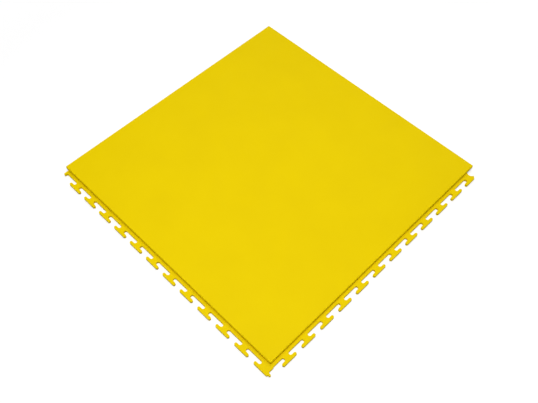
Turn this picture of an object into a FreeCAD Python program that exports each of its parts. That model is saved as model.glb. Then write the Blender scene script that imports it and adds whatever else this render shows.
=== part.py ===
import FreeCAD, Part
import math
import os
from FreeCAD import Vector

# Interlocking floor tile, moulded in one piece from PVC, in millimetres.
# The origin is on the underside, at the middle of the square deck, and Z is up.
# The deck hides its own joints: T-shaped tabs stick out below it on the -X and -Y sides,
# and the underside of the +X and +Y sides holds the sockets that take a neighbour's tabs.

# Deck
tile_size = 500.0         # side of the deck, which is also the spacing of laid tiles
tile_thickness = 10.0     # deck and lock layer together
edge_round = 1.8          # radius along the deck's top edges
corner_round = 2.0        # radius of the deck's upright corners

# Lock layer, the lower part of the thickness
lock_thickness = 4.5      # ledge and tabs
lock_headroom = 0.2       # room between a neighbour's tabs and the deck above them
ledge_width = 5.3         # plain strip between the deck's side and the roots of the tabs
clearance = 0.4           # gap in plan between a tab and its socket

# T-shaped tabs
tab_pitch = 40.85
neck_width = 10.2         # narrowest place of the T's neck
bar_length = 28.6         # cross-bar of the T
bar_thickness = 5.0
row_start_x = -15.35      # from the deck's near corner, one pitch before the -Y side's first tab
first_tab_y = 5.8         # first tab of the -X side, from the deck's near corner

# Where two sides meet
block_reach = 1.0         # how far the corner block stands past the -Y ledge
block_round = 1.8
nub_thickness = 3.4       # tongue on the corner block
nub_reach = 6.6           # end of the tongue, from the -Y ledge
stub_lap = 0.15           # how far the part tab of the -X side passes the line of the tongue
stub_waist = 10.6         # its narrowest place, from the deck's +Y side
stub_round = 2.5
relief_radius = 6.5       # round cut beside the last tab of the -Y side
end_trim = 2.2            # how much shorter that tab is
end_slope = 4.5           # slant of its end

# The slots between the tabs take the strips left between a neighbour's sockets, which are
# as thick as the tabs' bars.
neck_length = bar_thickness + 2 * clearance
tab_reach = ledge_width + neck_length + bar_thickness
half = tile_size / 2
layer_edge = half - ledge_width - clearance
socket_depth = lock_thickness + lock_headroom
notch_offset = (neck_width + neck_length) / 2
tab_count = math.floor(tile_size / tab_pitch)  # full tabs on each side
first_tab_x = row_start_x + tab_pitch
last_tab_x = -half + first_tab_x + (tab_count - 1) * tab_pitch
nub_x = -half + row_start_x + (neck_width - nub_thickness) / 2
past = 1.0                # how far a cutting tool runs past the face that it opens


def box(x0, y0, x1, y1, z0, z1):
    return Part.makeBox(x1 - x0, y1 - y0, z1 - z0, Vector(x0, y0, z0))


def post(x, y, radius, z0, z1):
    return Part.makeCylinder(radius, z1 - z0, Vector(x, y, z0))


def round_upright(shape, x, y, radius):
    """Round the one upright edge that stands at x, y."""
    corner_line = Vector(x, y, shape.BoundBox.Center.z)
    chosen = [e for e in shape.Edges if e.CenterOfMass.distanceToPoint(corner_line) < 0.001]
    return shape.makeFillet(radius, chosen)


def prism(edges, z0, z1):
    face = Part.Face(Part.Wire(Part.__sortEdges__(edges)))
    face.translate(Vector(0, 0, z0))
    return face.extrude(Vector(0, 0, z1 - z0))


def round_end(side, radius, start, end):
    """Half-round end of a bar, from its inner face to its outer face."""
    tip = Vector((start.x + end.x) / 2 + side * radius, (start.y + end.y) / 2, 0)
    return [Part.Arc(start, tip, end).toShape()]


def bevelled_end(side, radius, start, end):
    """Plain end with two bevels, as long as the half-round one and nowhere inside it."""
    bevel = radius * (math.sqrt(2) - 1)
    points = [start, start + Vector(side * bevel, 0, 0), start + Vector(side * radius, bevel - radius, 0)]
    points += [end + Vector(side * radius, radius - bevel, 0), end + Vector(side * bevel, 0, 0), end]
    return [Part.makeLine(a, b) for a, b in zip(points, points[1:])]


def tab(grow, z0, z1):
    """T shape pointing to -Y from its root line at y = 0, every side moved out by grow.

    A tab has round ends. The room for one, in a socket that lies hidden, has bevelled ends.
    """
    notch_y = -neck_length / 2
    notch_radius = neck_length / 2 - grow
    bar_x = (bar_length - bar_thickness) / 2
    bar_y = -neck_length - bar_thickness / 2
    bar_radius = bar_thickness / 2 + grow
    bar_end = bevelled_end if grow > 0 else round_end
    edges = []
    for side in (-1, 1):
        inner = Vector(side * notch_offset, past, 0)
        root = Vector(side * notch_offset, notch_y + notch_radius, 0)
        waist = Vector(side * (notch_offset - notch_radius), notch_y, 0)
        armpit = Vector(side * notch_offset, notch_y - notch_radius, 0)
        shoulder = Vector(side * bar_x, bar_y + bar_radius, 0)
        outer = Vector(side * bar_x, bar_y - bar_radius, 0)
        edges.append(Part.makeLine(inner, root))
        edges.append(Part.Arc(root, waist, armpit).toShape())
        edges.append(Part.makeLine(armpit, shoulder))
        edges += bar_end(side, bar_radius, shoulder, outer)
    edges.append(Part.makeLine(Vector(-notch_offset, past, 0), Vector(notch_offset, past, 0)))
    edges.append(Part.makeLine(Vector(-bar_x, bar_y - bar_radius, 0), Vector(bar_x, bar_y - bar_radius, 0)))
    return prism(edges, z0, z1)


def on_y_side(shape, place):
    """Move a shape to the roots of the -Y side, at a distance from the near corner."""
    shape = shape.copy()
    shape.translate(Vector(-half + place, -half - ledge_width, 0))
    return shape


def on_x_side(shape, place):
    """Turn a shape to point to -X and move it to the roots of the -X side."""
    shape = shape.copy()
    shape.rotate(Vector(0, 0, 0), Vector(0, 0, 1), -90)
    shape.translate(Vector(-half - ledge_width, -half + place, 0))
    return shape


def tabs(grow, z0, z1):
    """The full tabs of both sides."""
    shape = tab(grow, z0, z1)
    placed = []
    for index in range(tab_count):
        placed.append(on_y_side(shape, first_tab_x + index * tab_pitch))
        placed.append(on_x_side(shape, first_tab_y + index * tab_pitch))
    return placed


def corner(grow, z0, z1):
    """Block that carries the -Y ledge out to the end of the first tab of the -X side.

    Its tongue has the round side that the slots between the tabs have.
    """
    reach = tab_reach + grow
    across = ledge_width + block_reach + grow
    block = box(-half - reach, -half - across, -half, -half + first_tab_y, z0, z1)
    block = round_upright(block, -half - reach, -half - across, block_round + grow)
    radius = nub_thickness / 2 + grow
    end_y = -half - ledge_width - nub_reach + nub_thickness / 2
    nub = box(nub_x - radius, end_y, nub_x + radius, -half, z0, z1)
    notch_x = -half + row_start_x + notch_offset
    notch_y = -half - ledge_width - neck_length / 2
    heel = box(nub_x, notch_y, notch_x, -half, z0, z1)
    heel = heel.cut(post(notch_x, notch_y, neck_length / 2 - grow, z0 - past, z1 + past))
    return [block, nub, post(nub_x, end_y, radius, z0, z1), heel]


def corner_relief(z0, z1):
    """Round cut around a tile's tongue, made in the last tab of the tile on its -X side."""
    return post(nub_x, -half - ledge_width, relief_radius, z0, z1)


def stub(z0, z1):
    """Part of one more tab at the end of the -X side, cut short for the next tile's tongue."""
    notch_y = half - stub_waist - neck_length / 2
    notch_x = -half - ledge_width - neck_length / 2
    end_x = nub_x + nub_thickness / 2 - stub_lap
    blank = round_upright(box(end_x, notch_y, -half, layer_edge, z0, z1), end_x, layer_edge, stub_round)
    return blank.cut(post(notch_x, notch_y, neck_length / 2, z0 - past, z1 + past))


def end_web(z0, z1):
    """Plain web beside the neck of the last tab of the -Y side, which the round cut then trims."""
    inner_y = -half - tab_reach + bar_thickness
    return box(last_tab_x, inner_y, nub_x + tile_size, -half, z0, z1)


def end_cut(z0, z1):
    """Slanted end of the last tab of the -Y side."""
    tip_x = last_tab_x + bar_length / 2 - end_trim
    inner_y = -half - tab_reach + bar_thickness
    far_x = tip_x + end_trim + past
    slope = bar_thickness / end_slope
    top = Vector(far_x, inner_y + (far_x - tip_x) * slope, 0)
    corner_point = Vector(far_x, -half - tab_reach - past, 0)
    foot = Vector(tip_x - end_slope - past / slope, -half - tab_reach - past, 0)
    lines = [Part.makeLine(top, corner_point), Part.makeLine(corner_point, foot), Part.makeLine(foot, top)]
    return prism(lines, z0, z1)


def deck():
    """Square deck down to the floor, with its top edges rounded."""
    plate = box(-half, -half, half, half, 0, tile_thickness)
    upright = [e for e in plate.Edges if abs(e.tangentAt(e.FirstParameter).z) > 0.5]
    plate = plate.makeFillet(corner_round, upright)
    top = [e for e in plate.Edges if e.BoundBox.ZMin > tile_thickness - 0.001]
    return plate.makeFillet(edge_round, top)


def ledges():
    """Plain strips along the -X and -Y sides."""
    strip_x = box(-half - ledge_width, -half, -half + past, layer_edge, 0, lock_thickness)
    end = half - tab_reach - clearance
    strip_y = box(-half - past, -half - ledge_width, end, -half + past, 0, lock_thickness)
    return [strip_x, strip_y]


def neighbour_room():
    """All that tiles on the +X side, the +Y side and across the corner need below the deck."""
    top = socket_depth
    beyond = half + tab_reach
    room = [box(layer_edge, -half, beyond, beyond, -past, top)]
    room.append(box(-half, layer_edge, beyond, beyond, -past, top))
    corner_start = half - tab_reach - clearance
    room.append(box(corner_start, corner_start, beyond, beyond, -past, top))
    room.append(box(last_tab_x, half - tab_reach + bar_thickness, corner_start + past, beyond, -past, top))
    for shape in tabs(clearance, -past, top):
        on_this_side = shape.BoundBox.Center.y < shape.BoundBox.Center.x
        step = Vector(0, tile_size, 0) if on_this_side else Vector(tile_size, 0, 0)
        shape.translate(step)
        room.append(shape)
    for step in (Vector(tile_size, 0, 0), Vector(0, tile_size, 0)):
        for shape in corner(clearance, -past, top):
            shape.translate(step)
            room.append(shape)
    relief = corner_relief(-past, top)
    relief.translate(Vector(tile_size, 0, 0))
    room.append(relief)
    return room


def floor_tile():
    body = deck().fuse(ledges() + tabs(0, 0, lock_thickness) + corner(0, 0, lock_thickness))
    body = body.fuse([stub(0, lock_thickness), end_web(0, lock_thickness)])
    body = body.cut(neighbour_room() + [end_cut(-past, lock_thickness + past)])
    return body.removeSplitter()


parts = {"floor_tile": floor_tile()}

os.makedirs("parts", exist_ok=True)
for name, shape in parts.items():
    if len(shape.Solids) == 1:
        shape = shape.Solids[0]
    shape.exportStep("parts/" + name + ".step")
    size = shape.BoundBox
    litres = round(shape.Volume / 1e6, 3)
    print(name, "solids", len(shape.Solids), "valid", shape.isValid(), "litres", litres)
    print("x", round(size.XMin, 2), round(size.XMax, 2), "y", round(size.YMin, 2), round(size.YMax, 2))
    print("z", round(size.ZMin, 2), round(size.ZMax, 2), "faces", len(shape.Faces))
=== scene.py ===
import math
import bpy
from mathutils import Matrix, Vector


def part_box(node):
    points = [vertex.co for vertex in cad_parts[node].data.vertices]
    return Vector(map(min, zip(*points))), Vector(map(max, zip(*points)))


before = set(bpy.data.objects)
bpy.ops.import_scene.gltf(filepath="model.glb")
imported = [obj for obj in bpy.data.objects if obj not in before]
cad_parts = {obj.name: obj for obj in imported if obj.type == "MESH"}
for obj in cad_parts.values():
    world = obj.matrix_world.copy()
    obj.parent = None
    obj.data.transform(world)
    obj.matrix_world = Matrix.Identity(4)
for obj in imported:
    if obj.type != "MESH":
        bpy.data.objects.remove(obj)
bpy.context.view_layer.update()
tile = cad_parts["floor_tile"]

# Places on the tile, in metres. No tab stands out on +X and +Y, so the deck ends with the box there.
DECK_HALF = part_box("floor_tile")[1].x
DECK_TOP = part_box("floor_tile")[1].z
DECK_SIDE = 2 * DECK_HALF
NEAR_CORNER = Vector((-DECK_HALF, -DECK_HALF, DECK_TOP))

# Camera over the corner between the two tab sides, at so many deck sides from that corner
EYE = NEAR_CORNER + DECK_SIDE * Vector((-0.48229, -0.47136, 1.86322))
LOOK = Vector((0.391964, 0.388633, -0.833864))
ROLL = math.radians(0.067)
FOCAL_PIXELS = 668.34
PICTURE_WIDTH = 538
SENSOR_WIDTH = 36.0
CLIP_NEAR = 0.01
CLIP_FAR = 50.0

# Colours, linear
PVC_YELLOW = (0.900, 0.667, 0.0, 1.0)
PVC_YELLOW_DEEP = (0.875, 0.643, 0.0, 1.0)
FLOOR_PALE = (0.65, 0.65, 0.65, 1.0)
WHITE = (1.0, 1.0, 1.0, 1.0)

# Surface of the PVC. Each noise has its scale per metre, its detail and its roughness.
PVC_IOR = 1.5
PVC_SPECULAR = 0.03
PVC_ROUGHNESS = (0.44, 0.54)
CLOUDS = (14.0, 4.0, 0.55)
PATCHES = (60.0, 3.0, 0.5)
GRAIN = (1800.0, 2.0, 0.6)
GRAIN_STRENGTH = 0.25
GRAIN_DEPTH = 0.00006
NOISE_SPREAD = (0.3, 0.7)  # where most values of a noise lie

# Floor, and how brightly it is seen near the tile and from where the lamps no longer reach
FLOOR_SIZE = 12.0
FLOOR_LIFT = 0.48
FLOOR_FADE = (0.6, 2.4)

# Studio: a wide soft key above, a small fill over the near corner, and a faint even light
KEY_PLACE = (0.9, 0.5, 2.2)
KEY_SIZE = 3.4
KEY_POWER = 52.0
FILL_PLACE = (-0.42, -0.24, 1.25)
FILL_SIZE = 0.4
FILL_POWER = 8.2
WORLD_LIGHT = 0.03


def camera():
    data = bpy.data.cameras.new("camera")
    data.sensor_width = SENSOR_WIDTH
    data.lens = FOCAL_PIXELS / PICTURE_WIDTH * SENSOR_WIDTH
    data.clip_start = CLIP_NEAR
    data.clip_end = CLIP_FAR
    holder = bpy.data.objects.new("camera", data)
    bpy.context.scene.collection.objects.link(holder)
    turn = LOOK.to_track_quat("-Z", "Y").to_matrix().to_4x4()
    roll = holder.matrix_world.Rotation(ROLL, 4, "Z")
    holder.matrix_world = holder.matrix_world.Translation(EYE) @ turn @ roll
    bpy.context.scene.camera = holder


def new_material(name):
    made = bpy.data.materials.new(name)
    made.use_nodes = True
    made.node_tree.nodes.clear()
    return made, made.node_tree.nodes, made.node_tree.links


def noise(nodes, links, vector, scale, detail, roughness):
    texture = nodes.new("ShaderNodeTexNoise")
    texture.inputs["Scale"].default_value = scale
    texture.inputs["Detail"].default_value = detail
    texture.inputs["Roughness"].default_value = roughness
    links.new(vector, texture.inputs["Vector"])
    return texture.outputs["Fac"]


def stretch(nodes, links, value, low, high, to_low, to_high):
    """Map a value from one range to another."""
    node = nodes.new("ShaderNodeMapRange")
    node.inputs["From Min"].default_value = low
    node.inputs["From Max"].default_value = high
    node.inputs["To Min"].default_value = to_low
    node.inputs["To Max"].default_value = to_high
    links.new(value, node.inputs["Value"])
    return node.outputs["Result"]


def combine(nodes, links, operation, first, second):
    """Join two values by the named operation."""
    node = nodes.new("ShaderNodeMath")
    node.operation = operation
    links.new(first, node.inputs[0])
    links.new(second, node.inputs[1])
    return node.outputs["Value"]


def pvc():
    """Satin moulded PVC, coloured all through, with a faint cloudiness and a fine grain."""
    made, nodes, links = new_material("pvc_yellow")
    shader = nodes.new("ShaderNodeBsdfPrincipled")
    shader.inputs["IOR"].default_value = PVC_IOR
    shader.inputs["Specular IOR Level"].default_value = PVC_SPECULAR
    output = nodes.new("ShaderNodeOutputMaterial")
    links.new(shader.outputs["BSDF"], output.inputs["Surface"])
    place = nodes.new("ShaderNodeTexCoord").outputs["Object"]

    clouds = noise(nodes, links, place, *CLOUDS)
    mix = nodes.new("ShaderNodeMix")
    mix.data_type = "RGBA"
    mix.inputs["A"].default_value = PVC_YELLOW_DEEP
    mix.inputs["B"].default_value = PVC_YELLOW
    links.new(stretch(nodes, links, clouds, *NOISE_SPREAD, 0.0, 1.0), mix.inputs["Factor"])
    links.new(mix.outputs["Result"], shader.inputs["Base Color"])

    patches = noise(nodes, links, place, *PATCHES)
    links.new(stretch(nodes, links, patches, *NOISE_SPREAD, *PVC_ROUGHNESS), shader.inputs["Roughness"])

    grain = noise(nodes, links, place, *GRAIN)
    bump = nodes.new("ShaderNodeBump")
    bump.inputs["Strength"].default_value = GRAIN_STRENGTH
    bump.inputs["Distance"].default_value = GRAIN_DEPTH
    links.new(grain, bump.inputs["Height"])
    links.new(bump.outputs["Normal"], shader.inputs["Normal"])
    return made


def seen(nodes, links):
    """1 for what the camera, reflections and clear things see, and 0 where light is gathered."""
    rays = nodes.new("ShaderNodeLightPath").outputs
    direct = combine(nodes, links, "MAXIMUM", rays["Is Camera Ray"], rays["Is Glossy Ray"])
    return combine(nodes, links, "MAXIMUM", direct, rays["Is Transmission Ray"])


def floor():
    """Plain pale floor that keeps the tile's shadow.

    What is seen of it is lifted to white, and more so where the lamps no longer reach.
    """
    bpy.ops.mesh.primitive_plane_add(size=FLOOR_SIZE, location=(0, 0, 0))
    plane = bpy.context.object
    plane.name = "floor"
    made, nodes, links = new_material("floor_white")
    diffuse = nodes.new("ShaderNodeBsdfDiffuse")
    diffuse.inputs["Color"].default_value = FLOOR_PALE

    distance = nodes.new("ShaderNodeVectorMath")
    distance.operation = "LENGTH"
    links.new(nodes.new("ShaderNodeTexCoord").outputs["Object"], distance.inputs["Vector"])
    lift = stretch(nodes, links, distance.outputs["Value"], *FLOOR_FADE, FLOOR_LIFT, 1.0)
    glow = nodes.new("ShaderNodeEmission")
    links.new(combine(nodes, links, "MULTIPLY", lift, seen(nodes, links)), glow.inputs["Strength"])

    both = nodes.new("ShaderNodeAddShader")
    links.new(diffuse.outputs["BSDF"], both.inputs[0])
    links.new(glow.outputs["Emission"], both.inputs[1])
    output = nodes.new("ShaderNodeOutputMaterial")
    links.new(both.outputs["Shader"], output.inputs["Surface"])
    plane.data.materials.append(made)


def backdrop():
    """Seen as white, with a faint even light on the tile."""
    world = bpy.data.worlds.new("studio")
    world.use_nodes = True
    nodes = world.node_tree.nodes
    links = world.node_tree.links
    nodes["Background"].inputs["Color"].default_value = WHITE
    strength = stretch(nodes, links, seen(nodes, links), 0.0, 1.0, WORLD_LIGHT, 1.0)
    links.new(strength, nodes["Background"].inputs["Strength"])
    bpy.context.scene.world = world


def softbox(name, place, size, power):
    """Square lamp that points at the middle of the tile."""
    data = bpy.data.lights.new(name, "AREA")
    data.shape = "SQUARE"
    data.size = size
    data.energy = power
    holder = bpy.data.objects.new(name, data)
    bpy.context.scene.collection.objects.link(holder)
    turn = (-Vector(place)).to_track_quat("-Z", "Y").to_matrix().to_4x4()
    holder.matrix_world = holder.matrix_world.Translation(Vector(place)) @ turn


tile.data.materials.clear()
tile.data.materials.append(pvc())
camera()
floor()
backdrop()
softbox("key", KEY_PLACE, KEY_SIZE, KEY_POWER)
softbox("fill", FILL_PLACE, FILL_SIZE, FILL_POWER)
bpy.context.scene.view_settings.view_transform = "Standard"
